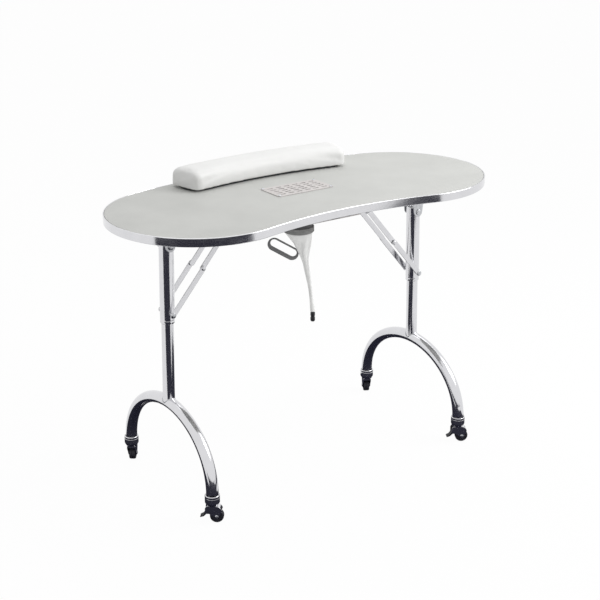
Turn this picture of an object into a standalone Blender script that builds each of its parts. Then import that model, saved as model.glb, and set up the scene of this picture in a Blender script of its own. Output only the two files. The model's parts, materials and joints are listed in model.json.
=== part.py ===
"""Folding manicure table: kidney top with a suction grille, wrist cushion, two arched legs on casters."""

import math

import bmesh
import bpy
from mathutils import Matrix, Vector

# Driving dimensions, in metres and degrees
GAP = 0.0003
TOP_Z = 0.720
BOARD_THICK = 0.020
LOBE_X = 0.300
LOBE_Y = -0.0175
LOBE_R = 0.225
FAR_Y = 0.2425
NEAR_Y = -0.2045
TRIM_WIDE = 0.0032
TRIM_ROUND = 0.0025
LEG_Y = 0.0075

CUT_LONG = 0.100
CUT_DEEP = 0.060
GRILLE_LONG = 0.165
GRILLE_DEEP = 0.085
GRILLE_THICK = 0.0016
SLOT_ROWS = 5
SLOT_COLUMNS = 6
SLOT_LONG = 0.0180
SLOT_DEEP = 0.0055

CUSHION_FRONT_R = 1.080
CUSHION_FRONT_Y = 0.1310
CUSHION_DEEP = 0.102
CUSHION_TALL = 0.0455
CUSHION_HALF_ANGLE = 13.2
CUSHION_BASE_THICK = 0.005
CUSHION_CUTS = 9

BOX_LOW = (-0.133, -0.1685, 0.684)
BOX_HIGH = (0.065, 0.052, 0.6997)
BOX_WALL = 0.002
BOX_FLANGE = 0.010
FAN_AT = (-0.0885, -0.125)
FAN_SIDE = 0.080
FAN_DEEP = 0.0115
FAN_BORE_R = 0.038
FAN_HUB_R = 0.016
FAN_BLADES = 7
COLLAR_R = 0.034
COLLAR_LOW_Z = 0.6580
SWITCH_X = -0.010
INLET_X = 0.030
PANEL_Z = 0.6918

BAG_TIE_Z = 0.573
BAG_TIE_SHIFT = (0.020, -0.003)
TAIL_LOW = (0.037, -0.008, 0.448)
TOGGLE_R = 0.0058
TOGGLE_LONG = 0.026
LOOP_CENTRE = (-0.1172, -0.1015, 0.6122)
LOOP_HALF = (0.0405, 0.0165)
LOOP_BAND = 0.0075
LOOP_TILT = -29.0
LOOP_TURN = -35.1

PIVOT_X = 0.377
PIVOT_Z = {"left": 0.642, "right": 0.600}
SPLAY = 1.0
SLEEVE_R = 0.018
SLEEVE_LOW = 0.195
TUBE_R = 0.015
ARCH_HALF = 0.200
ARCH_RISE = 0.181
ARCH_END_Z = 0.058
ARCH_STRAIGHT = 0.016
ARCH_POINTS = 25
STAY_REACH = 0.170
STAY_RISE = 0.034
STAY_THICK = 0.003
STAY_HALF_WIDE = 0.007
UPPER_STAY_Y = 0.0225
LOWER_STAY_Y = 0.0265
PIN_R = 0.004
HINGE_PIN_R = 0.005
EAR_IN = 0.0192
EAR_OUT = 0.0220

WHEEL_R = 0.0170
WHEEL_WIDE = 0.016
TRAIL = 0.0105
FORK_HALF = 0.0110
FORK_TOP_Z = 0.0447
AXLE_R = 0.003
STEM_R = 0.004
FERRULE_R = 0.0182
LEVER_AT = (-0.0125, 0.0290)
CASTER_HEADINGS = {
    ("left", "front"): -38.0,
    ("left", "rear"): 52.0,
    ("right", "front"): -30.0,
    ("right", "rear"): 60.0,
}

ROUND_STEPS = 20
SMALL_STEPS = 12


def clear_scene():
    for obj in list(bpy.data.objects):
        bpy.data.objects.remove(obj)


def new_collection(name):
    collection = bpy.data.collections.new(name)
    bpy.context.scene.collection.children.link(collection)
    return collection


clear_scene()
PARTS = new_collection("manicure_table")
CUTTERS = new_collection("cutters")


def material(name, colour, roughness, metallic=0.0):
    """A Principled material, made once for each name."""
    found = bpy.data.materials.get(name)
    if found:
        return found
    made = bpy.data.materials.new(name)
    made.use_nodes = True
    shader = made.node_tree.nodes["Principled BSDF"]
    shader.inputs["Base Color"].default_value = (*colour, 1.0)
    shader.inputs["Roughness"].default_value = roughness
    shader.inputs["Metallic"].default_value = metallic
    return made


def laminate():
    return material("pale_laminate", (0.62, 0.62, 0.61), 0.35)


def chrome():
    return material("chrome", (0.80, 0.81, 0.83), 0.08, 1.0)


def steel():
    return material("zinc_steel", (0.62, 0.63, 0.65), 0.30, 1.0)


def black_plastic():
    return material("black_plastic", (0.015, 0.015, 0.018), 0.45)


def white_plastic():
    return material("white_plastic", (0.80, 0.79, 0.77), 0.45)


def leatherette():
    return material("white_leatherette", (0.86, 0.86, 0.85), 0.50)


def cloth():
    return material("white_cloth", (0.85, 0.85, 0.83), 0.90)


def link(obj, finish, parent=None):
    """Puts a part in its collection, with its material and its parent."""
    for collection in list(obj.users_collection):
        collection.objects.unlink(obj)
    PARTS.objects.link(obj)
    obj.data.materials.clear()
    obj.data.materials.append(finish)
    obj.parent = parent
    return obj


def smooth(obj, degrees=35):
    obj.data.shade_smooth()
    obj.data.set_sharp_from_angle(angle=math.radians(degrees))
    return obj


def empty(name, at, turn=(0, 0, 0)):
    """A joint's own frame, with its origin on the axis."""
    obj = bpy.data.objects.new(name, None)
    obj.location = at
    obj.rotation_euler = turn
    PARTS.objects.link(obj)
    bpy.context.view_layer.update()
    return obj


def hang(child, parent):
    """Parents an object that is already placed in the world."""
    bpy.context.view_layer.update()
    child.parent = parent
    child.matrix_parent_inverse = parent.matrix_world.inverted()
    bpy.context.view_layer.update()


def mesh_object(name, build):
    """An object whose mesh comes from the bmesh that build fills."""
    bm = bmesh.new()
    build(bm)
    bmesh.ops.recalc_face_normals(bm, faces=bm.faces)
    mesh = bpy.data.meshes.new(name)
    bm.to_mesh(mesh)
    bm.free()
    obj = bpy.data.objects.new(name, mesh)
    bpy.context.scene.collection.objects.link(obj)
    return obj


def as_mesh(curve_object):
    """The mesh of a curve object with its caps welded; the curve goes."""
    bpy.context.view_layer.update()
    graph = bpy.context.evaluated_depsgraph_get()
    mesh = bpy.data.meshes.new_from_object(curve_object.evaluated_get(graph))
    bm = bmesh.new()
    bm.from_mesh(mesh)
    bmesh.ops.remove_doubles(bm, verts=bm.verts, dist=0.00001)
    bmesh.ops.recalc_face_normals(bm, faces=bm.faces)
    bm.to_mesh(mesh)
    bm.free()
    obj = bpy.data.objects.new(curve_object.name, mesh)
    obj.matrix_world = curve_object.matrix_world
    bpy.context.scene.collection.objects.link(obj)
    name = curve_object.name
    bpy.data.objects.remove(curve_object)
    obj.name = name
    return obj


def plate(name, outlines, low, high):
    """A flat piece: closed outlines in XY, the inner ones as holes, from low to high in Z."""
    curve = bpy.data.curves.new(name, "CURVE")
    curve.dimensions = "2D"
    curve.fill_mode = "BOTH"
    curve.extrude = (high - low) / 2
    for outline in outlines:
        spline = curve.splines.new("POLY")
        spline.points.add(len(outline) - 1)
        for point, (x, y) in zip(spline.points, outline):
            point.co = (x, y, 0, 1)
        spline.use_cyclic_u = True
    obj = bpy.data.objects.new(name, curve)
    obj.location.z = (low + high) / 2
    bpy.context.scene.collection.objects.link(obj)
    return as_mesh(obj)


def stand(obj):
    """Turns a plate so that its XY outline stands in XZ, and its thickness runs along Y."""
    obj.data.transform(Matrix.Rotation(math.radians(90), 4, "X") @ obj.matrix_world)
    obj.matrix_world = Matrix.Identity(4)
    return obj


def side_plate(name, outlines, low_y, high_y):
    """A plate whose outlines are in XZ, from low_y to high_y."""
    return stand(plate(name, outlines, -high_y, -low_y))


def tube(name, points, radius):
    """A round tube along points, with filled ends."""
    curve = bpy.data.curves.new(name, "CURVE")
    curve.dimensions = "3D"
    curve.bevel_depth = radius
    curve.bevel_resolution = 3
    curve.use_fill_caps = True
    spline = curve.splines.new("POLY")
    spline.points.add(len(points) - 1)
    for point, co in zip(spline.points, points):
        point.co = (*co, 1)
    obj = bpy.data.objects.new(name, curve)
    bpy.context.scene.collection.objects.link(obj)
    return as_mesh(obj)


def turned(name, profile, steps=ROUND_STEPS, ring=False, along="Z"):
    """A turned piece: (radius, height) points down the outer side, about Z or about Y."""
    mesh = bpy.data.meshes.new(name)
    verts = [(r, 0, h) for r, h in profile]
    edges = [(i, i + 1) for i in range(len(verts) - 1)]
    if ring:
        edges.append((len(verts) - 1, 0))
    mesh.from_pydata(verts, edges, [])
    obj = bpy.data.objects.new(name, mesh)
    bpy.context.scene.collection.objects.link(obj)
    screw = obj.modifiers.new("turn", "SCREW")
    screw.steps = steps
    screw.render_steps = steps
    screw.use_merge_vertices = True
    screw.merge_threshold = 0.00001
    solid = as_mesh(obj)
    if along == "Y":
        solid.data.transform(Matrix.Rotation(math.radians(90), 4, "X"))
    return solid


def block(name, low, high, rounded=0.0):
    """A box from low to high, with its edges rounded by a bevel."""
    size = [b - a for a, b in zip(low, high)]
    middle = [(a + b) / 2 for a, b in zip(low, high)]
    place = Matrix.Translation(middle) @ Matrix.Diagonal((*size, 1))
    obj = mesh_object(name, lambda bm: bmesh.ops.create_cube(bm, size=1, matrix=place))
    if rounded:
        bevel = obj.modifiers.new("edges", "BEVEL")
        bevel.width = rounded
        bevel.segments = 2
    return obj


def rod(name, radius, low, high, at=(0, 0), along="Y", steps=SMALL_STEPS):
    """A plain cylinder along Y (at is x, z) or along Z (at is x, y)."""

    def build(bm):
        bmesh.ops.create_cone(
            bm, cap_ends=True, segments=steps, radius1=radius, radius2=radius, depth=high - low
        )

    obj = mesh_object(name, build)
    middle = (low + high) / 2
    if along == "Y":
        turn = Matrix.Rotation(math.radians(90), 4, "X")
        obj.data.transform(Matrix.Translation((at[0], middle, at[1])) @ turn)
    else:
        obj.data.transform(Matrix.Translation((*at, middle)))
    return obj


def combine(obj, others, operation):
    """Applies Booleans in turn and removes the helper objects."""
    for other in others:
        for collection in list(other.users_collection):
            collection.objects.unlink(other)
        CUTTERS.objects.link(other)
        other.hide_render = True
        other.display_type = "WIRE"
        step = obj.modifiers.new("combine", "BOOLEAN")
        step.operation = operation
        step.solver = "EXACT"
        step.object = other
    bpy.context.view_layer.update()
    graph = bpy.context.evaluated_depsgraph_get()
    mesh = bpy.data.meshes.new_from_object(obj.evaluated_get(graph))
    obj.modifiers.clear()
    obj.data = mesh
    for other in others:
        bpy.data.objects.remove(other)
    return obj


def cut(obj, *cutters):
    return combine(obj, cutters, "DIFFERENCE")


def join(obj, *others):
    return combine(obj, others, "UNION")


def arc(centre, radius, start, end, count):
    """Points on an arc from start to end degrees, both ends included."""
    points = []
    for i in range(count):
        angle = math.radians(start + (end - start) * i / (count - 1))
        points.append((centre[0] + radius * math.cos(angle), centre[1] + radius * math.sin(angle)))
    return points


def rounded_box(centre, long, deep, radius, count=4):
    """A rectangle with round corners, anticlockwise."""
    points = []
    corners = ((1, 1, 0), (-1, 1, 90), (-1, -1, 180), (1, -1, 270))
    for sx, sy, start in corners:
        at = (centre[0] + sx * (long / 2 - radius), centre[1] + sy * (deep / 2 - radius))
        points += arc(at, radius, start, start + 90, count)
    return points


def circle(centre, radius, count=SMALL_STEPS):
    return arc(centre, radius, 0, 360 * (count - 1) / count, count)


def stadium(start, end, radius, count=7):
    """A strap's outline: round ends about start and end."""
    lean = math.degrees(math.atan2(end[1] - start[1], end[0] - start[0]))
    return arc(end, radius, lean - 90, lean + 90, count) + arc(start, radius, lean + 90, lean + 270, count)


def kidney(inset=0.0):
    """The top's outline: two end lobes, a convex far side and a hollow near side, all tangent."""
    drop = FAR_Y - LOBE_Y
    far_r = (LOBE_X**2 + drop**2 - LOBE_R**2) / (2 * (drop - LOBE_R))
    rise = LOBE_Y - NEAR_Y
    near_r = (LOBE_X**2 + rise**2 - LOBE_R**2) / (2 * (LOBE_R - rise))
    far_c = (0, FAR_Y - far_r)
    near_c = (0, NEAR_Y - near_r)
    far_turn = math.degrees(math.atan2(LOBE_Y - far_c[1], LOBE_X))
    near_turn = math.degrees(math.atan2(LOBE_Y - near_c[1], LOBE_X))
    lobe = LOBE_R - inset
    points = arc((LOBE_X, LOBE_Y), lobe, near_turn - 180, far_turn, 25)
    points += arc(far_c, far_r - inset, far_turn, 180 - far_turn, 15)[1:-1]
    points += arc((-LOBE_X, LOBE_Y), lobe, 180 - far_turn, 360 - near_turn, 25)
    points += arc(near_c, near_r + inset, 180 - near_turn, near_turn, 15)[1:-1]
    return points


def make_top():
    """The board with its suction cut-out, and the trim round its edge."""
    hole = rounded_box((0, LEG_Y), CUT_LONG, CUT_DEEP, 0.008)
    board_low = TOP_Z - BOARD_THICK
    inner = TRIM_WIDE + GAP
    link(plate("table_board", [kidney(inner), hole], board_low, TOP_Z), laminate())
    ring = [kidney(), kidney(TRIM_WIDE)]
    trim = plate("edge_trim", ring, board_low - 0.0005, TOP_Z + 0.0005)
    bevel = trim.modifiers.new("edges", "BEVEL")
    bevel.width = TRIM_ROUND / 2
    bevel.segments = 1
    bevel.limit_method = "ANGLE"
    bevel.angle_limit = math.radians(60)
    link(trim, chrome())


def make_grille():
    """A thin plate over the cut-out, with rows of slots."""
    outlines = [rounded_box((0, LEG_Y), GRILLE_LONG, GRILLE_DEEP, 0.006)]
    for row in range(SLOT_ROWS):
        for column in range(SLOT_COLUMNS):
            x = (column - (SLOT_COLUMNS - 1) / 2) * (GRILLE_LONG - 0.016) / SLOT_COLUMNS
            y = LEG_Y + (row - (SLOT_ROWS - 1) / 2) * (GRILLE_DEEP - 0.014) / SLOT_ROWS
            outlines.append(rounded_box((x, y), SLOT_LONG, SLOT_DEEP, SLOT_DEEP / 2 - 0.0002, 2))
    low = TOP_Z + GAP
    link(plate("suction_grille", outlines, low, low + GRILLE_THICK), white_plastic())


def cushion_point(angle, deep, high):
    """A point on the cushion: angle along its bow, deep from front to back, high above its foot."""
    radius = CUSHION_FRONT_R + deep
    turn = math.radians(angle)
    y = CUSHION_FRONT_Y - CUSHION_FRONT_R + radius * math.cos(turn)
    return Vector((radius * math.sin(turn), y, high))


def make_cushion():
    """A bowed bolster with a crown, drawn-in sides and domed ends, on a thin base board."""
    foot = TOP_Z + GAP
    pad_low = foot + CUSHION_BASE_THICK + GAP
    inner, outer = CUSHION_FRONT_R + 0.008, CUSHION_FRONT_R + CUSHION_DEEP - 0.008
    centre = (0, CUSHION_FRONT_Y - CUSHION_FRONT_R)
    middle = (inner + outer) / 2
    reach = CUSHION_HALF_ANGLE - 3.4
    ends = [(centre[0] + s * middle * math.sin(math.radians(reach)),
             centre[1] + middle * math.cos(math.radians(reach))) for s in (1, -1)]
    end_r = (outer - inner) / 2
    outline = arc(centre, outer, 90 - reach, 90 + reach, 15)[1:-1]
    outline += arc(ends[1], end_r, 90 + reach, 270 + reach, 9)
    outline += arc(centre, inner, 90 + reach, 90 - reach, 15)[1:-1]
    outline += arc(ends[0], end_r, -90 - reach, 90 - reach, 9)
    link(plate("cushion_base", [outline], foot, foot + CUSHION_BASE_THICK), black_plastic())

    def build(bm):
        bmesh.ops.create_cube(bm, size=1)
        along = [e for e in bm.edges if abs(e.verts[0].co.x - e.verts[1].co.x) > 0.5]
        bmesh.ops.subdivide_edges(bm, edges=along, cuts=CUSHION_CUTS, use_grid_fill=True)
        crease = bm.edges.layers.float.new("crease_edge")
        for vert in bm.verts:
            share = vert.co.x * 2
            end = abs(share) > 0.99
            taper = 0.62 if end else 1.0
            front = vert.co.y < 0
            upper = vert.co.z > 0
            swell = 0.004 if upper else 0.0
            deep = CUSHION_DEEP / 2 + (-1 if front else 1) * (CUSHION_DEEP / 2 + swell) * taper
            tall = CUSHION_TALL * (1.05 if not end else 0.92)
            angle = share * (CUSHION_HALF_ANGLE - (0.8 if upper and end else 0.0))
            vert.co = cushion_point(angle, deep, pad_low + (tall if upper else 0.0))
        for edge in bm.edges:
            low = all(abs(v.co.z - pad_low) < 1e-6 for v in edge.verts)
            border = any(f.normal.z > -0.5 for f in edge.link_faces)
            edge[crease] = 0.75 if low and border else 0.0

    pad = mesh_object("wrist_cushion", build)
    soften = pad.modifiers.new("soften", "SUBSURF")
    soften.levels = 2
    soften.render_levels = 2
    link(pad, leatherette())
    smooth(pad, 60)


def make_fan_box():
    """An open-topped tray with a flange, screwed under the board, with a round outlet."""
    low, high = Vector(BOX_LOW), Vector(BOX_HIGH)
    high.z -= BOX_WALL

    def build(bm):
        size = high - low
        place = Matrix.Translation((low + high) / 2) @ Matrix.Diagonal((*size, 1))
        bmesh.ops.create_cube(bm, size=1, matrix=place)
        bm.faces.ensure_lookup_table()
        top = [f for f in bm.faces if f.normal.z > 0.5]
        bmesh.ops.delete(bm, geom=top, context="FACES_ONLY")
        rim = [e for e in bm.edges if e.is_boundary]
        new = bmesh.ops.extrude_edge_only(bm, edges=rim)["geom"]
        centre = (low + high) / 2
        for vert in (v for v in new if isinstance(v, bmesh.types.BMVert)):
            vert.co.x += math.copysign(BOX_FLANGE, vert.co.x - centre.x)
            vert.co.y += math.copysign(BOX_FLANGE, vert.co.y - centre.y)

    box = mesh_object("fan_box", build)
    shell = box.modifiers.new("wall", "SOLIDIFY")
    shell.thickness = BOX_WALL
    shell.offset = 1
    shell.solidify_mode = "NON_MANIFOLD"
    shell.nonmanifold_thickness_mode = "CONSTRAINTS"
    outlet = rod("outlet", COLLAR_R - 0.002, BOX_LOW[2] - 0.01, BOX_LOW[2] + 0.01, FAN_AT, "Z", ROUND_STEPS)
    front = BOX_LOW[1]
    slot = block("slot", (SWITCH_X - 0.0095, front - 0.01, PANEL_Z - 0.0045),
                 (SWITCH_X + 0.0095, front + 0.01, PANEL_Z + 0.0045))
    port = rod("port", 0.0042, front - 0.01, front + 0.01, (INLET_X, PANEL_Z))
    link(cut(box, outlet, slot, port), white_plastic())


def make_switch():
    """The rocker switch and the power inlet in the fan box's front wall."""
    front = BOX_LOW[1]
    bezel = block("switch_bezel", (SWITCH_X - 0.0115, front - 0.0018, PANEL_Z - 0.0056),
                  (SWITCH_X + 0.0115, front - GAP, PANEL_Z + 0.0056))
    body = block("body", (SWITCH_X - 0.0092, front - 0.001, PANEL_Z - 0.0042),
                 (SWITCH_X + 0.0092, front + 0.012, PANEL_Z + 0.0042))
    well = block("well", (SWITCH_X - 0.0080, front - 0.02, PANEL_Z - 0.0034),
                 (SWITCH_X + 0.0080, front + 0.007, PANEL_Z + 0.0034))
    link(cut(join(bezel, body), well), black_plastic())
    axis = empty("switch_axis", (SWITCH_X, front + 0.0016, PANEL_Z))
    outline = [(-0.0063, -0.0030), (-0.0063, -0.0036), (0, -0.0014), (0.0063, -0.0055), (0.0063, -0.0020)]
    outline += arc((0, 0), 0.0034, 0, 180, 7)
    rocker = plate("switch_rocker", [outline], -0.0029, 0.0029)
    link(rocker, black_plastic(), axis)
    inlet = turned("power_inlet", [(0.0038, 0.010), (0.0038, 0.0), (0.0055, -GAP), (0.0055, -0.002),
                                   (0.0022, -0.002), (0.0022, 0.010)], SMALL_STEPS, True)
    inlet.data.transform(Matrix.Rotation(math.radians(-90), 4, "X"))
    inlet.location = (INLET_X, front - GAP, PANEL_Z)
    link(inlet, black_plastic())


def make_fan():
    """An axial fan in the box: square frame, motor on a spider, and a bladed rotor."""
    low = BOX_LOW[2] + BOX_WALL + GAP
    high = low + FAN_DEEP
    frame = [rounded_box(FAN_AT, FAN_SIDE - 0.001, FAN_SIDE - 0.001, 0.005), circle(FAN_AT, FAN_BORE_R, 32)]
    link(plate("fan_frame", frame, low, high), black_plastic())

    spider = []
    arm = 5.0
    for quarter in range(4):
        turn = 90 * quarter + 45
        for lean in (-arm, arm):
            angle = math.radians(turn + lean * 0.5)
            r = FAN_BORE_R - GAP
            spider.append((FAN_AT[0] + r * math.cos(angle), FAN_AT[1] + r * math.sin(angle)))
        spider += arc(FAN_AT, FAN_HUB_R - 0.001, turn + 2 * arm, turn + 90 - 2 * arm, 5)
    motor = plate("motor", [spider], low, low + 0.003)
    core = rod("core", 0.009, low + 0.001, low + 0.0065, FAN_AT, "Z")
    motor.name = "fan_motor"
    link(join(motor, core), black_plastic())

    axis = empty("fan_axis", (*FAN_AT, 0))
    floor = low + 0.003 + GAP
    roof = high - 0.001
    cap = [(0, roof), (FAN_HUB_R - 0.001, roof), (FAN_HUB_R, roof - 0.001), (FAN_HUB_R, floor),
           (0.0095, floor), (0.0095, low + 0.0070), (0, low + 0.0070)]
    hub = turned("fan_rotor", cap)
    blades = []
    for i in range(FAN_BLADES):
        blade = block(f"blade{i}", (FAN_HUB_R - 0.002, -0.0066, -0.0006), (FAN_BORE_R - 0.0015, 0.0066, 0.0006))
        pitch = Matrix.Rotation(math.radians(25), 4, "X")
        spread = Matrix.Rotation(2 * math.pi * i / FAN_BLADES, 4, "Z")
        blade.data.transform(spread @ Matrix.Translation((0, 0, (floor + roof) / 2)) @ pitch)
        blades.append(blade)
    link(join(hub, *blades), black_plastic(), axis)


def make_bag():
    """The exhaust collar, and the limp dust bag with its band, pull loop and toggle."""
    x, y = FAN_AT
    top = BOX_LOW[2] - GAP
    ring = [(COLLAR_R - 0.0025, top), (COLLAR_R + 0.006, top), (COLLAR_R + 0.006, top - 0.002),
            (COLLAR_R, top - 0.002), (COLLAR_R, COLLAR_LOW_Z), (COLLAR_R - 0.0025, COLLAR_LOW_Z)]
    collar = turned("bag_collar", ring, ring=True)
    collar.location = (x, y, 0)
    link(smooth(collar), black_plastic())

    band_r = COLLAR_R + 0.0006
    low = COLLAR_LOW_Z + 0.0010
    band = [(band_r, low + 0.013), (band_r + 0.0020, low + 0.013), (band_r + 0.0034, low + 0.0065),
            (band_r + 0.0020, low), (band_r, low)]
    elastic = turned("bag_band", band, ring=True)
    elastic.location = (x, y, 0)
    link(smooth(elastic), black_plastic())

    bag_top = COLLAR_LOW_Z - GAP
    sections = 15
    tail_low = Vector(TAIL_LOW)

    def section(step):
        """Centre and radii of one ring of the bag, mouth first."""
        if step <= 8:
            share = step / 8
            fall = bag_top + (BAG_TIE_Z - bag_top) * share
            draw = 1 - (1 - share) ** 1.5
            shift = Vector(BAG_TIE_SHIFT) * share**0.8
            wide = COLLAR_R + (0.0065 - COLLAR_R) * draw
            return Vector((x + shift.x, y + shift.y, fall)), wide, wide * (1 - 0.22 * math.sin(math.pi * share))
        share = (step - 8) / (sections - 1 - 8)
        start = Vector((x + BAG_TIE_SHIFT[0], y + BAG_TIE_SHIFT[1], BAG_TIE_Z))
        end = Vector((x + tail_low.x, y + tail_low.y, tail_low.z))
        thin = 0.0048 + 0.0012 * math.cos(6.0 * share)
        return start.lerp(end, share), thin, thin

    def build(bm):
        rings = []
        for step in range(sections):
            centre, wide, deep = section(step)
            ring = []
            for i in range(16):
                angle = 2 * math.pi * i / 16
                pleat = 1 + 0.10 * math.cos(4 * angle) * math.sin(math.pi * min(step / 8, 1))
                at = (wide * pleat * math.cos(angle), deep * pleat * math.sin(angle), 0)
                ring.append(bm.verts.new(centre + Vector(at)))
            rings.append(ring)
        for upper, lower in zip(rings, rings[1:]):
            for i in range(16):
                j = (i + 1) % 16
                bm.faces.new((upper[i], lower[i], lower[j], upper[j]))
        bm.faces.new(rings[0])
        bm.faces.new(rings[-1])

    bag = mesh_object("dust_bag", build)
    link(smooth(bag, 60), cloth())

    half = TOGGLE_LONG / 2
    bead = [(0, half), (TOGGLE_R * 0.6, half - 0.0005), (TOGGLE_R, half - 0.003), (TOGGLE_R, -half + 0.003),
            (TOGGLE_R * 0.6, -half + 0.0005), (0, -half)]
    toggle = turned("bag_toggle", bead, SMALL_STEPS)
    toggle.location = (x + tail_low.x, y + tail_low.y, tail_low.z - half - GAP)
    link(smooth(toggle), black_plastic())

    long, tall = LOOP_HALF
    outer = stadium((-(long - tall), 0), (long - tall, 0), tall, 9)
    inner = stadium((-(long - tall), 0), (long - tall, 0), tall - LOOP_BAND, 9)
    loop = side_plate("bag_pull_loop", [outer, inner], -0.0015, 0.0015)
    loop.data.transform(Matrix.Rotation(math.radians(-LOOP_TILT), 4, "Y"))
    loop.location = LOOP_CENTRE
    loop.rotation_euler.z = math.radians(LOOP_TURN)
    link(loop, material("grey_webbing", (0.10, 0.10, 0.11), 0.85))


def clevis(name, drop, wide_top, eye_r, hole_r, plate_half):
    """A drop bracket: a foot plate under the board and two tapered ears with a pin hole at the origin."""
    foot = block(name, (-plate_half, -0.045, drop - 0.003), (plate_half, 0.045, drop), 0.001)
    ears = []
    for side in (-1, 1):
        outline = [(wide_top, drop - 0.001), (-wide_top, drop - 0.001)] + arc((0, 0), eye_r, 190, 350, 11)
        low, high = sorted((side * EAR_IN, side * EAR_OUT))
        ears.append(side_plate("ear", [outline, circle((0, 0), hole_r)], low, high))
    return join(foot, *ears)


def pin(name, steps):
    """A turned pin along Y; steps gives each radius and how far from the middle it reaches."""
    half = []
    reached = 0.0
    for radius, reach in steps:
        half += [(radius, reached), (radius, reach)]
        reached = reach
    upper = [(0, reached)] + half[:0:-1]
    lower = [(radius, -y) for radius, y in reversed(upper)]
    return turned(name, upper + lower, SMALL_STEPS, along="Y")


def make_leg(side):
    """One folding leg: hinge bracket, sleeve, post, arched foot and its pair of two-link stays."""
    turn = 0.0 if side == "left" else math.pi
    sign = -1 if side == "left" else 1
    z = PIVOT_Z[side]
    at = (sign * PIVOT_X, LEG_Y, z)
    fixed = empty(f"{side}_hinge_axis", at, (0, 0, turn))
    leg = empty(f"{side}_leg_axis", at, (0, math.radians(SPLAY), turn))
    drop = TOP_Z - BOARD_THICK - GAP - z

    link(clevis(f"{side}_hinge_bracket", drop, 0.027, 0.013, HINGE_PIN_R + GAP, 0.032), steel(), fixed)
    hinge = [(HINGE_PIN_R, EAR_OUT + GAP), (0.008, EAR_OUT + 0.0028)]
    link(smooth(pin(f"{side}_hinge_pin", hinge)), steel(), fixed)

    bore = TUBE_R + GAP
    sleeve = [(0, 0.014), (SLEEVE_R - 0.002, 0.014), (SLEEVE_R, 0.012), (SLEEVE_R, -SLEEVE_LOW + 0.001),
              (SLEEVE_R - 0.001, -SLEEVE_LOW), (bore, -SLEEVE_LOW), (bore, -0.030), (0, -0.030)]
    long_cut = SLEEVE_R + 0.01
    hole = rod("hole", HINGE_PIN_R + GAP, -long_cut, long_cut)
    stay_hole = rod("stay_hole", PIN_R + GAP, -long_cut, long_cut, (0, -STAY_REACH))
    link(smooth(cut(turned(f"{side}_leg_sleeve", sleeve), hole, stay_hole)), chrome(), leg)

    end_z = -(z - ARCH_END_Z) / math.cos(math.radians(SPLAY))
    bow = [(0, ARCH_HALF, end_z)]
    for i in range(ARCH_POINTS):
        angle = math.pi * i / (ARCH_POINTS - 1)
        rise = ARCH_STRAIGHT + (ARCH_RISE - ARCH_STRAIGHT) * math.sin(angle)
        bow.append((0, ARCH_HALF * math.cos(angle), end_z + rise))
    bow.append((0, -ARCH_HALF, end_z))
    link(smooth(tube(f"{side}_arch", bow, TUBE_R)), chrome(), leg)
    apex = end_z + ARCH_RISE
    post = turned(f"{side}_post", [(0, -0.060), (TUBE_R, -0.060), (TUBE_R, apex), (0, apex)])
    saddle = tube("saddle", bow, TUBE_R + GAP)
    stay_hole = rod("stay_hole", PIN_R + GAP, -long_cut, long_cut, (0, -STAY_REACH))
    link(smooth(cut(post, saddle, stay_hole)), chrome(), leg)

    make_stays(side, fixed, leg, drop)
    for end in ("front", "rear"):
        make_caster(side, end, leg, end_z)


def make_stays(side, fixed, leg, drop):
    """The two-link stays between the leg's sleeve and a bracket under the board."""
    lean = math.radians(SPLAY)
    low = Vector((-STAY_REACH * math.sin(lean), -STAY_REACH * math.cos(lean)))
    high = Vector((STAY_REACH, STAY_RISE))
    knuckle = (low + high) / 2
    bracket = clevis(f"{side}_stay_bracket", drop - STAY_RISE, 0.016, 0.010, PIN_R + GAP, 0.020)
    bracket.location = (high.x, 0, high.y)
    link(bracket, steel(), fixed)
    upper_out = UPPER_STAY_Y + STAY_THICK
    lower_out = LOWER_STAY_Y + STAY_THICK
    fixed_steps = [(PIN_R, upper_out + GAP), (0.0065, upper_out + 0.0022)]
    top_pin = pin(f"{side}_stay_bracket_pin", fixed_steps)
    top_pin.location = (high.x, 0, high.y)
    link(smooth(top_pin), steel(), fixed)
    post_steps = [(PIN_R, SLEEVE_R + GAP), (0.007, LOWER_STAY_Y - GAP), (PIN_R, lower_out + GAP),
                  (0.007, lower_out + 0.0022)]
    post_pin = pin(f"{side}_stay_post_pin", post_steps)
    post_pin.location = (0, 0, -STAY_REACH)
    link(smooth(post_pin), steel(), leg)

    upper_axis = empty(f"{side}_upper_stay_axis", (high.x, 0, high.y))
    upper_axis.parent = fixed
    lower_axis = empty(f"{side}_lower_stay_axis", (low.x, 0, low.y))
    lower_axis.parent = fixed
    for mark, y in (("front", -1), ("rear", 1)):
        facing = mark if side == "left" else {"front": "rear", "rear": "front"}[mark]
        reach = knuckle - high
        outline = [stadium((0, 0), reach, STAY_HALF_WIDE), circle((0, 0), PIN_R + GAP)]
        span = sorted((y * UPPER_STAY_Y, y * upper_out))
        link(side_plate(f"{side}_upper_stay_{facing}", outline, *span), chrome(), upper_axis)
        reach = knuckle - low
        outline = [stadium((0, 0), reach, STAY_HALF_WIDE), circle((0, 0), PIN_R + GAP)]
        span = sorted((y * LOWER_STAY_Y, y * lower_out))
        strap = side_plate(f"{side}_lower_stay_{facing}", outline, *span)
        head = sorted((y * (lower_out - 0.001), y * (lower_out + 0.002)))
        rivet = rod("rivet", 0.005, *head, (reach.x, reach.y))
        link(join(strap, rivet), chrome(), lower_axis)


def fork_outline():
    """The fork's side view: a crown about the swivel axis, running back to the axle."""
    axle = (TRAIL, WHEEL_R)
    points = [(-0.0125, FORK_TOP_Z), (0.0090, FORK_TOP_Z)]
    points += arc((0.0095, 0.0300), 0.0145, 85, 10, 6)
    points += arc(axle, 0.0062, -10, -170, 7)
    points += [(-0.0125, 0.0365)]
    return points


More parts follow.
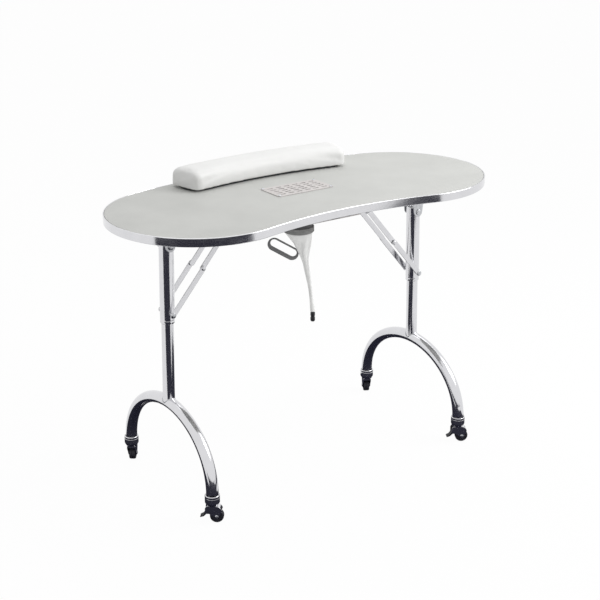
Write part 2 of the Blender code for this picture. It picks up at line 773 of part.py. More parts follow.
def make_caster(side, end, leg, end_z):
    """One swivel caster under an end of the arch; the front ones have a brake lever."""
    name = f"{side}_{end}"
    sign = -1 if side == "left" else 1
    lean = math.radians(SPLAY)
    x = sign * (PIVOT_X - end_z * math.sin(lean))
    y = LEG_Y + (-ARCH_HALF if end == "front" else ARCH_HALF)
    braked = end == "front"

    bore = TUBE_R + 0.0007
    cup = [(bore, 0.072), (FERRULE_R - 0.0010, 0.072), (FERRULE_R, 0.0705), (FERRULE_R, 0.0525),
           (0.0140, 0.0450), (STEM_R + GAP, 0.0450), (STEM_R + GAP, ARCH_END_Z - 2 * GAP),
           (bore, ARCH_END_Z - 2 * GAP)]
    ferrule = turned(f"{name}_ferrule", cup, ring=True)
    ferrule.location = (x, y, 0)
    link(smooth(ferrule), chrome())
    hang(ferrule, leg)

    swivel = empty(f"{name}_swivel_axis", (x, y, 0), (0, 0, math.radians(CASTER_HEADINGS[side, end])))
    hang(swivel, leg)
    outline = fork_outline()
    if braked:
        ears = [(-0.0080, 0.0245), (-0.0175, 0.0245), (-0.0175, 0.0385), (-0.0140, FORK_TOP_Z)]
        outline = outline[1:-1] + ears
    fork = side_plate(f"{name}_fork", [outline], -FORK_HALF, FORK_HALF)
    half = WHEEL_WIDE / 2 + 0.0006
    slot = rod("slot", WHEEL_R + 0.0015, -half, half, (TRAIL, WHEEL_R), "Y", ROUND_STEPS)
    hole = rod("hole", AXLE_R + GAP, -0.02, 0.02, (TRAIL, WHEEL_R))
    cutters = [slot, hole]
    if braked:
        cutters.append(block("gap", (-0.03, -half, 0.02), (-0.0072, half, 0.0345)))
        cutters.append(rod("lever_hole", 0.0018, -0.02, 0.02, LEVER_AT))
    fork = cut(fork, *cutters)
    stem = rod("stem", STEM_R, FORK_TOP_Z - 0.002, ARCH_END_Z - 0.002, (0, 0), "Z")
    link(join(fork, stem), chrome(), swivel)

    axle = empty(f"{name}_wheel_axis", (TRAIL, 0, WHEEL_R))
    axle.parent = swivel
    steps = [(AXLE_R, FORK_HALF + GAP), (0.0048, FORK_HALF + 0.0016)]
    shaft = pin(f"{name}_axle", steps)
    shaft.location = (TRAIL, 0, WHEEL_R)
    link(smooth(shaft), steel(), swivel)
    w = WHEEL_WIDE / 2
    dish = w - 0.0012
    tyre = [(0.0145, w), (WHEEL_R, w - 0.0028), (WHEEL_R, -w + 0.0028), (0.0145, -w), (0.0125, -dish),
            (AXLE_R + GAP, -dish), (AXLE_R + GAP, dish), (0.0125, dish)]
    wheel = turned(f"{name}_wheel", tyre, ring=True, along="Y")
    link(smooth(wheel), black_plastic(), axle)
    if braked:
        make_lever(name, swivel, half)


def make_lever(name, swivel, half):
    """A brake pedal that pivots between the fork's front ears."""
    axis = empty(f"{name}_lever_axis", (LEVER_AT[0], 0, LEVER_AT[1]))
    axis.parent = swivel
    outline = arc((0, 0), 0.0034, -60, 140, 8)
    outline += [(-0.0095, -0.0090), (-0.0170, -0.0130), (-0.0172, -0.0152), (-0.0085, -0.0128)]
    lever = side_plate(f"{name}_lever", [outline], -half + 0.0006, half - 0.0006)
    pivot = rod("pivot", 0.0014, -FORK_HALF, FORK_HALF)
    link(join(lever, pivot), black_plastic(), axis)


def main():
    make_top()
    make_grille()
    make_cushion()
    make_fan_box()
    make_switch()
    make_fan()
    make_bag()
    for side in ("left", "right"):
        make_leg(side)
    bpy.context.view_layer.update()


main()
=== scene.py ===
"""Looks of a folding manicure table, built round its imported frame."""

import json
import math

import bpy
from mathutils import Matrix, Vector

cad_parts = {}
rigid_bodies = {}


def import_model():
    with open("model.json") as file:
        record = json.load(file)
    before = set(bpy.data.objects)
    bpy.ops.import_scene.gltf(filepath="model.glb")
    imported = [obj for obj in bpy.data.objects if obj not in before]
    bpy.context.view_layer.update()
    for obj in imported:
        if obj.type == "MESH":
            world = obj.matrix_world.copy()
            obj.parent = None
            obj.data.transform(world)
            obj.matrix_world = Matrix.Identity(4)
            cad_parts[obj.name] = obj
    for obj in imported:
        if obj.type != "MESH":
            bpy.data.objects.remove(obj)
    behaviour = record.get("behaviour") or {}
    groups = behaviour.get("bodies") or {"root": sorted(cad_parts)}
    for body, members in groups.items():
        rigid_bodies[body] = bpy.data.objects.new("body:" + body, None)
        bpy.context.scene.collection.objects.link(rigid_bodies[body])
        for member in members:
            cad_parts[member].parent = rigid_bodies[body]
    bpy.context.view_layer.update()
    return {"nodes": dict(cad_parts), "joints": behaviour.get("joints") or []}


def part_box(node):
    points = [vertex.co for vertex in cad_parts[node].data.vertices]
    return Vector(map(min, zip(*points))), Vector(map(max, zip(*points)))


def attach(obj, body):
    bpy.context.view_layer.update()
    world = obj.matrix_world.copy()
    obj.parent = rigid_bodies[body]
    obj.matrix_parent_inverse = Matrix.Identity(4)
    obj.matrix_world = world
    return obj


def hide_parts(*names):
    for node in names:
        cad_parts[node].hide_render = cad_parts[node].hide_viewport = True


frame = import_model()
NODES = frame["nodes"]
JOINTS = {joint["name"]: joint for joint in frame["joints"]}
SIDES = ("left", "right")
ENDS = ("front", "rear")

bl_info = {
    "name": "Manicure table",
    "version": (1, 0, 0),
    "blender": (4, 5, 0),
    "location": "View3D > Sidebar > Manicure table",
    "description": "Dresses a folding manicure table with its finishes, soft goods and studio",
    "category": "Object",
}


class TableFinishes(bpy.types.PropertyGroup):
    """Colours of the table's surfaces."""

    laminate: bpy.props.FloatVectorProperty(
        name="Laminate", description="Pale grey work surface", subtype="COLOR", default=(0.53, 0.535, 0.515))
    leatherette: bpy.props.FloatVectorProperty(
        name="Leatherette", description="Wrist cushion cover", subtype="COLOR", default=(0.80, 0.80, 0.79))
    chrome: bpy.props.FloatVectorProperty(
        name="Chrome", description="Legs, edge band and casters", subtype="COLOR", default=(0.70, 0.70, 0.72))
    zinc: bpy.props.FloatVectorProperty(
        name="Zinc", description="Brackets, pins and screws", subtype="COLOR", default=(0.58, 0.59, 0.61))
    moulding: bpy.props.FloatVectorProperty(
        name="White moulding", description="Fan box and grille", subtype="COLOR", default=(0.60, 0.57, 0.56))
    black: bpy.props.FloatVectorProperty(
        name="Black plastic", description="Levers, switch and fan", subtype="COLOR",
        default=(0.014, 0.014, 0.018))
    grey: bpy.props.FloatVectorProperty(
        name="Grey plastic", description="Exhaust collar", subtype="COLOR", default=(0.10, 0.10, 0.105))
    elastic: bpy.props.FloatVectorProperty(
        name="Elastic", description="Band that holds the bag", subtype="COLOR", default=(0.34, 0.34, 0.34))
    tyre: bpy.props.FloatVectorProperty(
        name="Tyre", description="Caster wheels", subtype="COLOR", default=(0.010, 0.010, 0.016))
    cloth: bpy.props.FloatVectorProperty(
        name="Cloth", description="Dust bag", subtype="COLOR", default=(0.95, 0.95, 0.94))
    webbing: bpy.props.FloatVectorProperty(
        name="Webbing", description="Pull loop", subtype="COLOR", default=(0.21, 0.21, 0.215))


class TableSizes(bpy.types.PropertyGroup):
    """Sizes of the pieces that are modelled here."""

    sleeve_radius: bpy.props.FloatProperty(
        name="Sleeve radius", description="Upper leg tube", unit="LENGTH", default=0.018)
    tube_radius: bpy.props.FloatProperty(
        name="Tube radius", description="Post and arch tube", unit="LENGTH", default=0.015)
    sleeve_length: bpy.props.FloatProperty(
        name="Sleeve length", description="From the hinge to the sleeve's lip", unit="LENGTH", default=0.195)
    arch_half: bpy.props.FloatProperty(
        name="Arch half span", description="From the post to each caster", unit="LENGTH", default=0.200)
    arch_rise: bpy.props.FloatProperty(
        name="Arch rise", description="From the arch's ends to its crown", unit="LENGTH", default=0.181)
    arch_end: bpy.props.FloatProperty(
        name="Arch end height", description="Ends of the arch above the floor", unit="LENGTH", default=0.058)
    splay: bpy.props.FloatProperty(
        name="Splay", description="Outward lean of each leg", subtype="ANGLE", default=math.radians(1.0))
    wheel_radius: bpy.props.FloatProperty(
        name="Wheel radius", description="Caster wheel", unit="LENGTH", default=0.017)
    wheel_width: bpy.props.FloatProperty(
        name="Wheel width", description="Caster wheel", unit="LENGTH", default=0.016)
    trail: bpy.props.FloatProperty(
        name="Trail", description="Axle behind the swivel axis", unit="LENGTH", default=0.0105)
    strap_half: bpy.props.FloatProperty(
        name="Stay half width", description="Folding stay straps", unit="LENGTH", default=0.007)
    cushion_bow: bpy.props.FloatProperty(
        name="Cushion bow", description="Radius of the cushion's front in plan", unit="LENGTH", default=1.080)
    cushion_front: bpy.props.FloatProperty(
        name="Cushion front", description="Middle of the cushion's front", unit="LENGTH", default=0.131)
    cushion_deep: bpy.props.FloatProperty(
        name="Cushion depth", description="From front to back", unit="LENGTH", default=0.102)
    cushion_turn: bpy.props.FloatProperty(
        name="Cushion reach", description="Half of the bow's angle", subtype="ANGLE",
        default=math.radians(12.2))
    voxel: bpy.props.FloatProperty(
        name="Cushion voxel", description="Grain of the cushion's cloth", unit="LENGTH", default=0.004)
    cushion_cap: bpy.props.FloatProperty(
        name="Cushion swell", description="Most that the cushion may swell", unit="LENGTH", default=0.002)


class TableStage(bpy.types.PropertyGroup):
    """Camera and light."""

    camera_at: bpy.props.FloatVectorProperty(
        name="Camera", description="Camera position", subtype="XYZ", default=(-1.9207, -2.7397, 1.6437))
    camera_pitch: bpy.props.FloatProperty(
        name="Pitch", description="Camera below the horizon", subtype="ANGLE", default=math.radians(19.9876))
    camera_heading: bpy.props.FloatProperty(
        name="Heading", description="Camera turn from the long side", subtype="ANGLE",
        default=math.radians(-35.086))
    lens: bpy.props.FloatProperty(name="Lens", description="Focal length", unit="CAMERA", default=83.65)
    key: bpy.props.FloatProperty(name="Key", description="Key light", unit="POWER", default=36.0)
    fill: bpy.props.FloatProperty(name="Fill", description="Overhead light", unit="POWER", default=12.0)
    ambient: bpy.props.FloatProperty(name="Ambient", description="World strength on the object", default=0.58)


def finishes():
    return bpy.context.scene.manicure_finishes


def sizes():
    return bpy.context.scene.manicure_sizes


def stage_settings():
    return bpy.context.scene.manicure_stage


# Materials


class Shader:
    """A Principled material under construction."""

    def __init__(self, name, colour, roughness, metallic=0.0):
        self.material = bpy.data.materials.new(name)
        self.material.use_nodes = True
        self.tree = self.material.node_tree
        self.bsdf = self.tree.nodes["Principled BSDF"]
        self.bsdf.inputs["Base Color"].default_value = (*colour, 1)
        self.bsdf.inputs["Roughness"].default_value = roughness
        self.bsdf.inputs["Metallic"].default_value = metallic
        self.colour = colour
        self.place = self.tree.nodes.new("ShaderNodeTexCoord").outputs["Object"]

    def node(self, kind, **values):
        made = self.tree.nodes.new("ShaderNode" + kind)
        for key, value in values.items():
            made.inputs[key.replace("_", " ")].default_value = value
        return made

    def join(self, source, target):
        self.tree.links.new(source, target)

    def mapped(self, scale, turn=(0, 0, 0)):
        mapping = self.node("Mapping", Scale=scale, Rotation=turn)
        self.join(self.place, mapping.inputs["Vector"])
        return mapping.outputs["Vector"]

    def noise(self, scale, detail=3.0, vector=None):
        made = self.node("TexNoise", Scale=scale, Detail=detail)
        self.join(vector or self.place, made.inputs["Vector"])
        return made.outputs["Fac"]

    def wave(self, scale, direction, vector=None, distortion=0.0):
        made = self.node("TexWave", Scale=scale, Distortion=distortion)
        made.bands_direction = direction
        self.join(vector or self.place, made.inputs["Vector"])
        return made.outputs["Fac"]

    def tint(self, factor, low, high, start=0.3, end=0.7):
        """Colour that runs from low to high times the base as the pattern goes from start to end."""
        ramp = self.tree.nodes.new("ShaderNodeValToRGB")
        ramp.color_ramp.elements[0].position = start
        ramp.color_ramp.elements[1].position = end
        ramp.color_ramp.elements[0].color = (*(min(c * low, 1) for c in self.colour), 1)
        ramp.color_ramp.elements[1].color = (*(min(c * high, 1) for c in self.colour), 1)
        self.join(factor, ramp.inputs["Fac"])
        self.join(ramp.outputs["Color"], self.bsdf.inputs["Base Color"])

    def rough(self, factor, low, high):
        span = self.node("MapRange", From_Min=0.3, From_Max=0.7, To_Min=low, To_Max=high)
        self.join(factor, span.inputs["Value"])
        self.join(span.outputs["Result"], self.bsdf.inputs["Roughness"])

    def bump(self, height, strength, distance):
        made = self.node("Bump", Strength=strength, Distance=distance)
        self.join(height, made.inputs["Height"])
        self.join(made.outputs["Normal"], self.bsdf.inputs["Normal"])

    def mixed(self, first, second, kind="MULTIPLY"):
        made = self.tree.nodes.new("ShaderNodeMath")
        made.operation = kind
        self.join(first, made.inputs[0])
        self.join(second, made.inputs[1])
        return made.outputs[0]


def laminate_finish():
    """Satin pale grey laminate with a faint mottle and a fine pore."""
    shader = Shader("laminate", finishes().laminate, 0.52)
    mottle = shader.noise(9.0, 4.0)
    shader.tint(mottle, 0.95, 1.04)
    pore = shader.noise(900.0, 2.0)
    shader.rough(pore, 0.46, 0.58)
    shader.bump(pore, 0.08, 0.0004)
    return shader.material


def chrome_finish():
    """Bright chrome with a trace of handling haze."""
    shader = Shader("chrome", finishes().chrome, 0.06, 1.0)
    haze = shader.noise(38.0, 5.0)
    shader.rough(haze, 0.10, 0.14)
    shader.tint(haze, 0.97, 1.02)
    return shader.material


def strap_finish():
    """Chromed strip, drawn lengthways."""
    shader = Shader("chromed_strip", finishes().chrome, 0.18, 1.0)
    drawn = shader.noise(60.0, 3.0, shader.mapped((1.0, 9.0, 1.0)))
    shader.rough(drawn, 0.12, 0.26)
    shader.tint(drawn, 0.92, 1.02)
    return shader.material


def zinc_finish():
    """Zinc plate with its cloudy spangle."""
    shader = Shader("zinc_plate", finishes().zinc, 0.32, 1.0)
    cloud = shader.noise(120.0, 4.0)
    shader.tint(cloud, 0.82, 1.08)
    shader.rough(cloud, 0.24, 0.42)
    shader.bump(cloud, 0.06, 0.0003)
    return shader.material


def moulded_finish(name, colour, roughness):
    """Moulded plastic with a spark-eroded grain."""
    shader = Shader(name, colour, roughness)
    grain = shader.noise(1400.0, 2.0)
    shader.bump(grain, 0.12, 0.0004)
    cast = shader.noise(24.0, 3.0)
    shader.tint(cast, 0.92, 1.05)
    shader.rough(cast, roughness - 0.06, roughness + 0.08)
    return shader.material


def tyre_finish():
    """Black rubber, dusty in its pores."""
    shader = Shader("tyre_rubber", finishes().tyre, 0.6)
    dust = shader.noise(260.0, 4.0)
    shader.tint(dust, 0.7, 2.2)
    shader.rough(dust, 0.5, 0.75)
    shader.bump(dust, 0.15, 0.0005)
    return shader.material


def leatherette_finish():
    """Soft white cover with a pebbled grain."""
    shader = Shader("leatherette", finishes().leatherette, 0.46)
    pebble = shader.node("TexVoronoi", Scale=620.0)
    shader.join(shader.place, pebble.inputs["Vector"])
    shader.bump(pebble.outputs["Distance"], 0.22, 0.0006)
    fade = shader.noise(14.0, 3.0)
    shader.tint(fade, 0.975, 1.015)
    shader.rough(fade, 0.40, 0.54)
    shader.bsdf.inputs["Sheen Weight"].default_value = 0.08
    return shader.material


def cloth_finish(name, colour, scale):
    """Plain weave of warp and weft, with a slightly uneven dye."""
    shader = Shader(name, colour, 0.9)
    warp = shader.wave(scale, "X", shader.mapped((1, 1, 1), (0, 0, 0.7)))
    weft = shader.wave(scale, "Z")
    weave = shader.mixed(warp, weft)
    shader.bump(weave, 0.3, 0.0005)
    shader.tint(shader.noise(40.0, 3.0), 0.90, 1.05)
    shader.bsdf.inputs["Sheen Weight"].default_value = 0.2
    return shader.material


MATERIALS = {}


def finish(name):
    """A material by name, made on first use."""
    if name not in MATERIALS:
        look = finishes()
        makers = {
            "laminate": laminate_finish,
            "chrome": chrome_finish,
            "strap": strap_finish,
            "zinc": zinc_finish,
            "white": lambda: moulded_finish("white_moulding", look.moulding, 0.5),
            "black": lambda: moulded_finish("black_moulding", look.black, 0.42),
            "grey": lambda: moulded_finish("grey_moulding", look.grey, 0.5),
            "elastic": lambda: cloth_finish("ribbed_elastic", look.elastic, 600.0),
            "tyre": tyre_finish,
            "leatherette": leatherette_finish,
            "cloth": lambda: cloth_finish("bag_cloth", look.cloth, 420.0),
            "webbing": lambda: cloth_finish("loop_webbing", look.webbing, 700.0),
        }
        MATERIALS[name] = makers[name]()
    return MATERIALS[name]


def dress(node, name):
    """Gives a carried-over node its finish."""
    NODES[node].data.materials.clear()
    NODES[node].data.materials.append(finish(name))


# Modelling


def begin():
    """Object mode with nothing selected."""
    if bpy.context.mode != "OBJECT":
        bpy.ops.object.mode_set(mode="OBJECT")
    bpy.ops.object.select_all(action="DESELECT")


def pick(*objects):
    begin()
    for obj in objects:
        obj.select_set(True)
    bpy.context.view_layer.objects.active = objects[0]
    return objects[0]


def named(name):
    obj = bpy.context.object
    obj.name = name
    obj.data.name = name
    return obj


def recalculate(obj):
    pick(obj)
    bpy.ops.object.mode_set(mode="EDIT")
    bpy.ops.mesh.select_all(action="SELECT")
    bpy.ops.mesh.remove_doubles(threshold=0.000002)
    bpy.ops.mesh.normals_make_consistent(inside=False)
    bpy.ops.object.mode_set(mode="OBJECT")
    return obj


def lathe(name, profile, steps=40, ring=False):
    """Turns (radius, height) points about Z: a circle is extruded and scaled point by point."""
    begin()
    radius, height = profile[0]
    fill = "NOTHING" if ring else "NGON"
    bpy.ops.mesh.primitive_circle_add(vertices=steps, radius=radius, fill_type=fill, location=(0, 0, height))
    obj = named(name)
    bpy.ops.object.transform_apply(location=True, rotation=True, scale=True)
    bpy.ops.object.mode_set(mode="EDIT")
    bpy.ops.mesh.select_all(action="SELECT")
    for wide, tall in profile[1:] + (profile[:1] if ring else []):
        bpy.ops.mesh.extrude_region_move(TRANSFORM_OT_translate={"value": (0, 0, tall - height)})
        share = wide / radius
        bpy.ops.transform.resize(value=(share, share, 1), center_override=(0, 0, tall))
        radius, height = wide, tall
    return recalculate(obj)


def plate(name, outline, low, high, bevel=0.0, segments=2):
    """A flat piece: a circle whose corners go to the outline in XZ, extruded from low to high along Y."""
    begin()
    bpy.ops.mesh.primitive_circle_add(vertices=len(outline), radius=0.01, fill_type="NGON")
    obj = named(name)
    for vert, (x, z) in zip(obj.data.vertices, outline):
        vert.co = (x, low, z)
    bpy.ops.object.mode_set(mode="EDIT")
    bpy.ops.mesh.select_all(action="SELECT")
    bpy.ops.mesh.extrude_region_move(TRANSFORM_OT_translate={"value": (0, high - low, 0)})
    recalculate(obj)
    if bevel:
        soften = obj.modifiers.new("edges", "BEVEL")
        soften.width = bevel
        soften.segments = segments
        soften.limit_method = "ANGLE"
        soften.angle_limit = math.radians(40)
        bpy.ops.object.modifier_apply(modifier=soften.name)
    return obj


def box(name, low, high, bevel):
    """A cube brought to its corners, with softened edges."""
    begin()
    bpy.ops.mesh.primitive_cube_add(size=1)
    obj = named(name)
    obj.scale = [b - a for a, b in zip(low, high)]
    obj.location = [(a + b) / 2 for a, b in zip(low, high)]
    bpy.ops.object.transform_apply(location=True, rotation=True, scale=True)
    soften = obj.modifiers.new("edges", "BEVEL")
    soften.width = bevel
    soften.segments = 3
    bpy.ops.object.modifier_apply(modifier=soften.name)
    return obj


def pipe(name, points, radius, around=14, closed=False, tall=0.0):
    """A round tube along points, or with tall an upright band with round edges."""
    begin()
    curve = bpy.data.curves.new(name, "CURVE")
    curve.dimensions = "3D"
    curve.twist_mode = "Z_UP"
    curve.bevel_depth = radius
    curve.bevel_resolution = around
    curve.extrude = tall
    curve.use_fill_caps = not closed
    spline = curve.splines.new("POLY")
    spline.points.add(len(points) - 1)
    for point, place in zip(spline.points, points):
        point.co = (*place, 1)
    spline.use_cyclic_u = closed
    obj = bpy.data.objects.new(name, curve)
    bpy.context.scene.collection.objects.link(obj)
    pick(obj)
    bpy.ops.object.convert(target="MESH")
    return recalculate(bpy.context.object)


def merged(name, *objects):
    """Joins pieces of one solid into one object."""
    pick(*objects)
    bpy.ops.object.join()
    return named(name)


def copied(obj, matrix):
    """A copy with its own mesh, at another place."""
    again = obj.copy()
    again.data = obj.data.copy()
    bpy.context.scene.collection.objects.link(again)
    again.matrix_world = matrix
    return again


def upright_to_y():
    return Matrix.Rotation(math.radians(-90), 4, "X")


def settle(obj, body, look, nodes=(), place=None, angle=38):
    """Puts a piece in its place, shades it, gives it its finish and lets it ride on its body."""
    pick(obj)
    if place is not None:
        obj.matrix_world = place @ obj.matrix_world
    bpy.ops.object.transform_apply(location=True, rotation=True, scale=True)
    bpy.ops.object.shade_smooth_by_angle(angle=math.radians(angle))
    flat = obj.modifiers.new("flat", "WEIGHTED_NORMAL")
    flat.keep_sharp = True
    bpy.ops.object.modifier_apply(modifier=flat.name)
    obj.data.materials.clear()
    obj.data.materials.append(finish(look))
    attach(obj, body)
    if nodes:
        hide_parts(*nodes)
    return obj


def arc(centre, radius, start, end, count):
    points = []
    for i in range(count):
        angle = math.radians(start + (end - start) * i / (count - 1))
        points.append((centre[0] + radius * math.cos(angle), centre[1] + radius * math.sin(angle)))
    return points


def stadium(start, end, radius, count=17):
    lean = math.degrees(math.atan2(end[1] - start[1], end[0] - start[0]))
    return arc(end, radius, lean - 90, lean + 90, count) + arc(start, radius, lean + 90, lean + 270, count)


def kidney(inset):
    """The top's outline, as tangent arcs."""
    lobe_x, lobe_y, lobe_r, far_y, near_y = 0.300, -0.0175, 0.225, 0.2425, -0.2045
    drop = far_y - lobe_y
    far_r = (lobe_x**2 + drop**2 - lobe_r**2) / (2 * (drop - lobe_r))
    rise = lobe_y - near_y
    near_r = (lobe_x**2 + rise**2 - lobe_r**2) / (2 * (lobe_r - rise))
    far_c, near_c = (0, far_y - far_r), (0, near_y - near_r)
    far_turn = math.degrees(math.atan2(lobe_y - far_c[1], lobe_x))
    near_turn = math.degrees(math.atan2(lobe_y - near_c[1], lobe_x))
    points = arc((lobe_x, lobe_y), lobe_r - inset, near_turn - 180, far_turn, 90)
    points += arc(far_c, far_r - inset, far_turn, 180 - far_turn, 60)[1:-1]
    points += arc((-lobe_x, lobe_y), lobe_r - inset, 180 - far_turn, 360 - near_turn, 90)
    points += arc(near_c, near_r + inset, 180 - near_turn, near_turn, 60)[1:-1]
    return points


def screw_head(radius=0.0042):
    """A pan head with a dimple, its seat at zero and its crown below."""
    high = radius * 0.55
    profile = [(radius, 0), (radius * 0.97, -high * 0.5), (radius * 0.72, -high * 0.9),
               (radius * 0.34, -high), (radius * 0.30, -high * 0.55), (radius * 0.05, -high * 0.5)]
    return lathe("screw", profile, 18)


def screws(name, places, flip=False):
    """Like screws at several places, as one piece on the table."""
    first = screw_head()
    turn = Matrix.Rotation(math.pi, 4, "X") if flip else Matrix.Identity(4)
    made = [copied(first, Matrix.Translation(at) @ turn) for at in places]
    bpy.data.objects.remove(first)
    return settle(merged(name, *made), "table", "zinc")


# Operators, one for each piece or group of like pieces


class TABLE_OT_top(bpy.types.Operator):
    """Finish the board and grille, and model the edge band and the grille's screws"""

    bl_idname = "manicure.top"
    bl_label = "Top"

    def execute(self, context):
        dress("table_board", "laminate")
        dress("suction_grille", "white")
        low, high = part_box("edge_trim")
        half = 0.0016
        line = [(x, y, (low.z + high.z) / 2) for x, y in kidney(half)]
        band = pipe("edge_band", line, half, 5, True, (high.z - low.z) / 2 - half)
        settle(band, "table", "chrome", ["edge_trim"])
        low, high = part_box("suction_grille")
        inset = 0.0055
        xs, ys = (low.x + inset, high.x - inset), (low.y + inset, high.y - inset)
        corners = [(x, y, high.z) for x in xs for y in ys]
        screws("grille_screws", corners, True)
        return {"FINISHED"}


class TABLE_OT_cushion(bpy.types.Operator):
    """Model the wrist cushion as stuffed leatherette and finish its base"""

    bl_idname = "manicure.cushion"
    bl_label = "Wrist cushion"

    def execute(self, context):
        # The base takes the black plastic finish; its dark colour also stands in as painted shade for the
        # shadow line under the cushion's front.
        dress("cushion_base", "black")
        pad = self.form()
        pad.data.remesh_voxel_size = sizes().voxel
        bpy.ops.object.voxel_remesh()
        self.swell(context, pad)
        low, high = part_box("wrist_cushion")
        foot = min(v.co.z for v in pad.data.vertices)
        for vert in pad.data.vertices:
            if vert.co.z < foot + 0.003:
                vert.co.z = low.z + 0.0002
            vert.co.z = min(vert.co.z, high.z + 0.002)
        even = pad.modifiers.new("even", "SMOOTH")
        even.factor = 0.5
        even.iterations = 3
        bpy.ops.object.modifier_apply(modifier=even.name)
        fine = pad.modifiers.new("fine", "SUBSURF")
        fine.levels = fine.render_levels = 1
        bpy.ops.object.modifier_apply(modifier=fine.name)
        settle(pad, "table", "leatherette", ["wrist_cushion"], angle=80)
        return {"FINISHED"}

    def form(self):
        """A bowed bolster with a crown, flat ends and rounded edges, a little under its full size."""
        size = sizes()
        low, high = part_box("wrist_cushion")
        begin()
        bpy.ops.mesh.primitive_cube_add(size=1)
        pad = named("cushion")
        bpy.ops.object.mode_set(mode="EDIT")
        bpy.ops.mesh.select_all(action="SELECT")
        bpy.ops.mesh.subdivide(number_cuts=17)
        bpy.ops.object.mode_set(mode="OBJECT")
        rounding, cut = 0.017, 0.013
        middle = size.cushion_bow + size.cushion_deep / 2
        centre_y = size.cushion_front - size.cushion_bow
        half = Vector((size.cushion_turn * middle, size.cushion_deep / 2 - 0.001,
                       (high.z - low.z - 0.0005 + cut) / 2))
        for vert in pad.data.vertices:
            place = Vector(math.sin(c * math.pi) * h for c, h in zip(vert.co, half))
            core = Vector(max(-h + rounding, min(h - rounding, c)) for c, h in zip(place, half))
            place = core + (place - core).normalized() * rounding
            angle = place.x / half.x * size.cushion_turn
            radius = middle + place.y
            crown = 0.004 * (place.y / half.y) ** 2 if place.z > 0 else 0.0
            vert.co = (radius * math.sin(angle), centre_y + radius * math.cos(angle),
                       max(low.z, low.z - cut + half.z + place.z - crown))
        return recalculate(pad)

    def swell(self, context, pad):
        """Blows the cover up a little, with the foot held flat."""
        low = min(v.co.z for v in pad.data.vertices)
        rest = [v.co.copy() for v in pad.data.vertices]
        foot = pad.vertex_groups.new(name="foot")
        foot.add([v.index for v in pad.data.vertices if v.co.z < low + 0.004], 1.0, "REPLACE")
        cloth = pad.modifiers.new("cover", "CLOTH")
        cloth.settings.use_pressure = True
        cloth.settings.uniform_pressure_force = 4.0
        cloth.settings.vertex_group_mass = "foot"
        cloth.settings.effector_weights.gravity = 0.0
        for step in range(1, 21):
            context.scene.frame_set(step)
        swollen = pad.evaluated_get(context.evaluated_depsgraph_get())
        cap = sizes().cushion_cap
        places = []
        for before, vert in zip(rest, swollen.data.vertices):
            move = vert.co - before
            places.append(before + move * min(1.0, cap / max(move.length, 1e-9)))
        pad.modifiers.remove(cloth)
        context.scene.frame_set(1)
        for vert, place in zip(pad.data.vertices, places):
            vert.co = place


class TABLE_OT_suction(bpy.types.Operator):
    """Finish the fan box, fan, switch and inlet, and screw the box to the board"""

    bl_idname = "manicure.suction"
    bl_label = "Suction unit"

    def execute(self, context):
        dress("fan_box", "white")
        for node in ("fan_frame", "fan_motor", "fan_rotor", "switch_bezel", "switch_rocker", "power_inlet"):
            dress(node, "black")
        low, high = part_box("fan_box")
        inset = 0.005
        xs = (low.x + inset, (low.x + high.x) / 2, high.x - inset)
        places = [(x, y, high.z - 0.002) for x in xs for y in (low.y + inset, high.y - inset)]
        screws("fan_box_screws", places)
        return {"FINISHED"}


